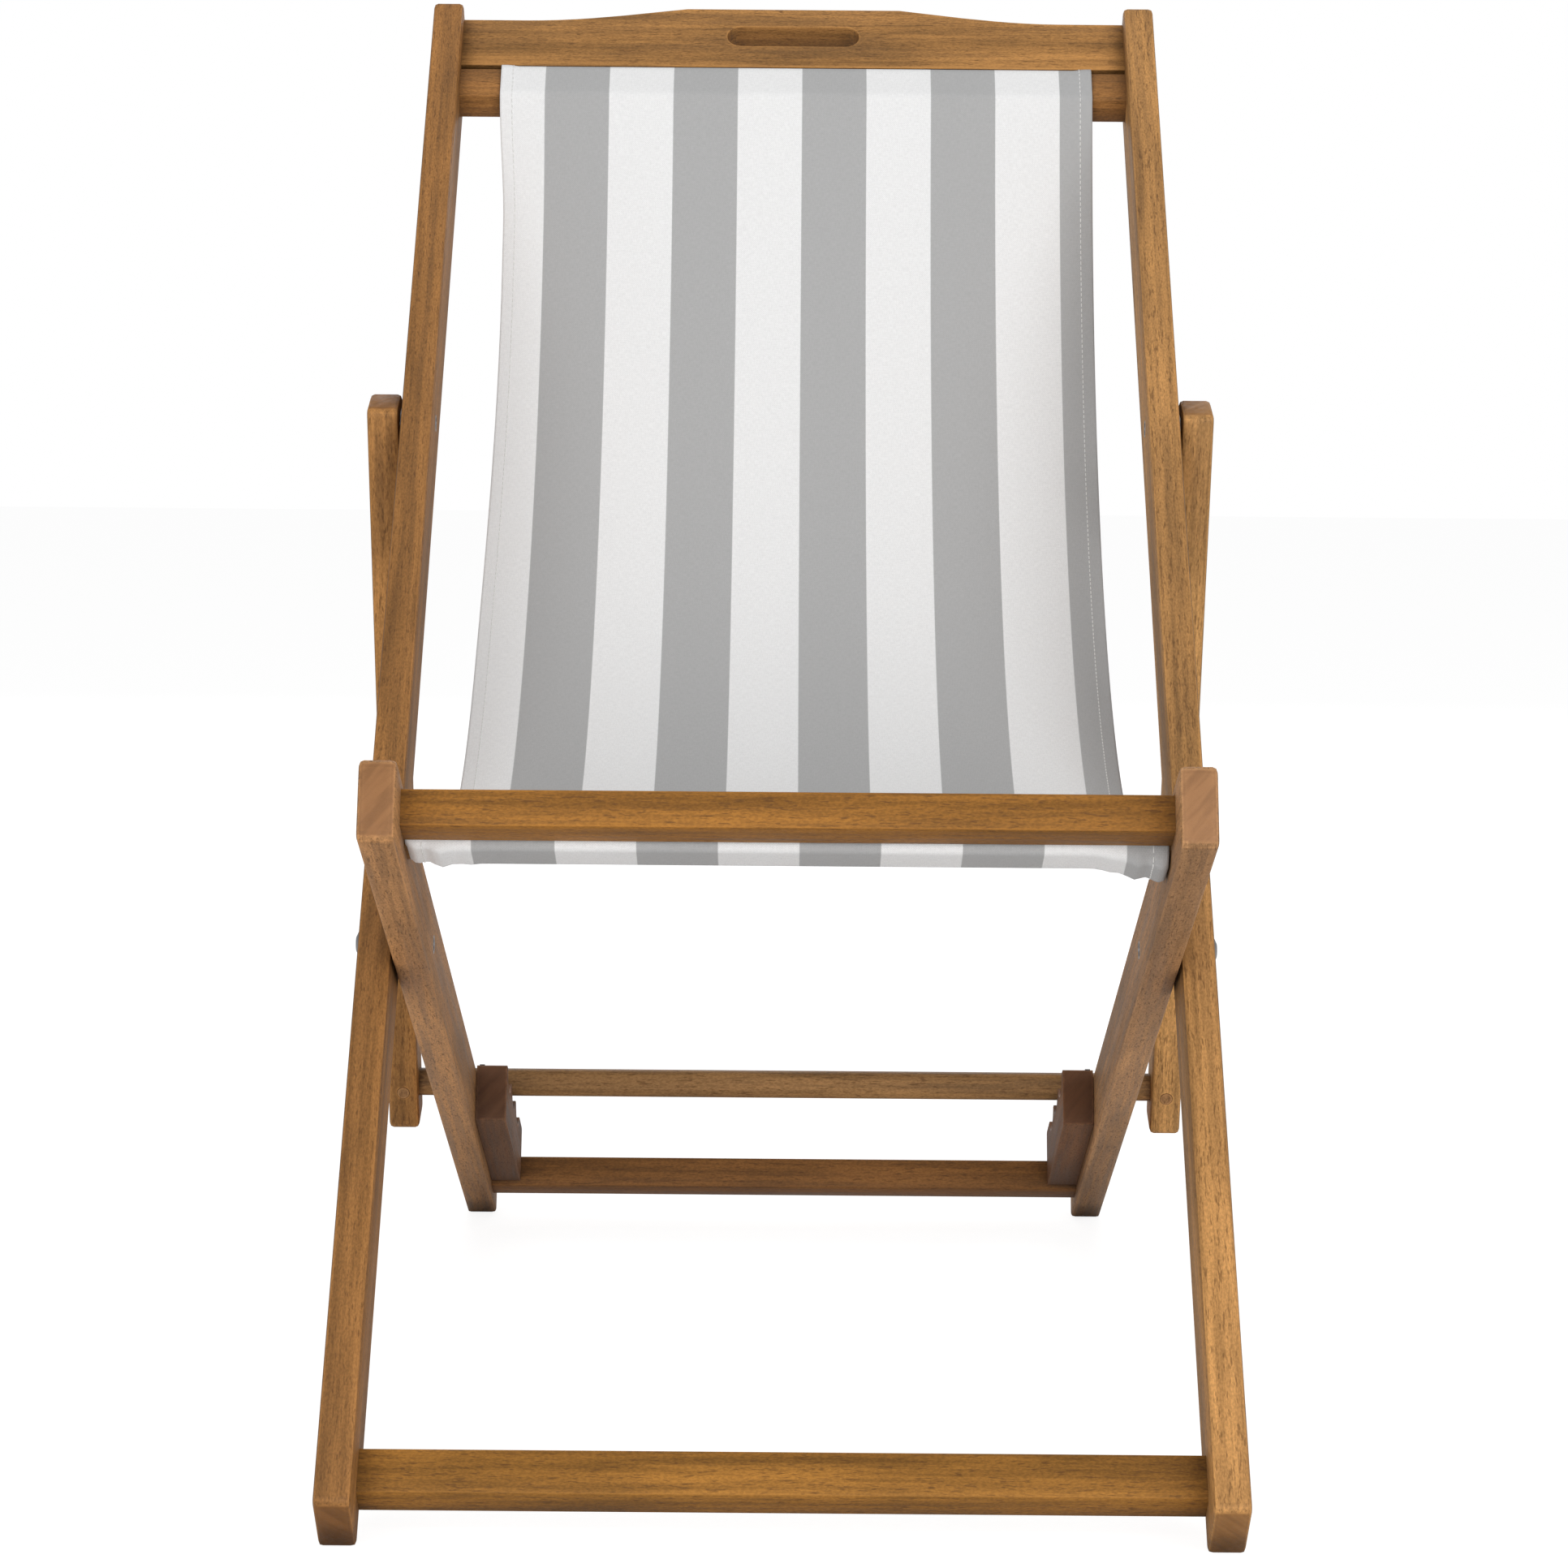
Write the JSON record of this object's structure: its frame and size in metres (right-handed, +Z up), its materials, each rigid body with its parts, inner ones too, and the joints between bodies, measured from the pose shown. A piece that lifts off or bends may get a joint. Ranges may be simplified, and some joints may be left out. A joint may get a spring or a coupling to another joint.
{
  "type": "folding deck chair",
  "caption": "Folding timber deck chair: crossed back and seat frames, a prop frame that rests in notched racks, and a striped canvas sling hung between the head and the front rail.",
  "frame": {"origin": "on the floor under the middle of the chair's box", "axes": "+X across the chair to the right as seen from the front, +Y from the front feet to the head, +Z up"},
  "size_m": [0.589, 0.947, 0.9275],
  "materials": {
    "frame_wood": "oiled hardwood, satin",
    "peg_wood": "end grain, oiled",
    "steel": "zinc plated",
    "canvas": "woven cotton canvas, grey and white stripes"
  },
  "bodies": {
    "back_frame": {"back_leg_left": "frame_wood", "back_leg_right": "frame_wood", "handle_rail": "frame_wood", "top_sling_bar": "frame_wood", "foot_rail": "frame_wood", "seat_bolt_left": "steel", "seat_bolt_right": "steel", "seat_nut_left": "steel", "seat_nut_right": "steel", "seat_washer_left": "steel", "seat_washer_right": "steel", "prop_bolt_left": "steel", "prop_bolt_right": "steel", "prop_nut_left": "steel", "prop_nut_right": "steel", "prop_spacer_left": "steel", "prop_spacer_right": "steel", "sling": "canvas"},
    "seat_frame": {"seat_leg_left": "frame_wood", "seat_leg_right": "frame_wood", "front_rail": "frame_wood", "front_sling_bar": "frame_wood", "rear_rail": "frame_wood", "rack_left": "frame_wood", "rack_right": "frame_wood", "rack_screw_left_1": "steel", "rack_screw_left_2": "steel", "rack_screw_right_1": "steel", "rack_screw_right_2": "steel"},
    "prop_frame": {"prop_leg_left": "frame_wood", "prop_leg_right": "frame_wood", "prop_bar": "frame_wood", "prop_peg_left": "peg_wood", "prop_peg_right": "peg_wood", "bar_pin_left": "steel", "bar_pin_right": "steel"}
  },
  "joints": [
    {"name": "seat_hinge", "type": "hinge", "parent": "back_frame", "child": "seat_frame", "pos_m": [0, -0.15804, 0.30831], "axis": [1, 0, 0], "range_deg": [0, 69.5], "deforming": ["sling"]},
    {"name": "prop_hinge", "type": "hinge", "parent": "back_frame", "child": "prop_frame", "pos_m": [0, 0.16519, 0.62484], "axis": [1, 0, 0], "range_deg": [0, 118]}
  ],
  "couplings": [
    {"joint": "prop_hinge", "follows": "seat_hinge", "ratio": 1.697}
  ]
}
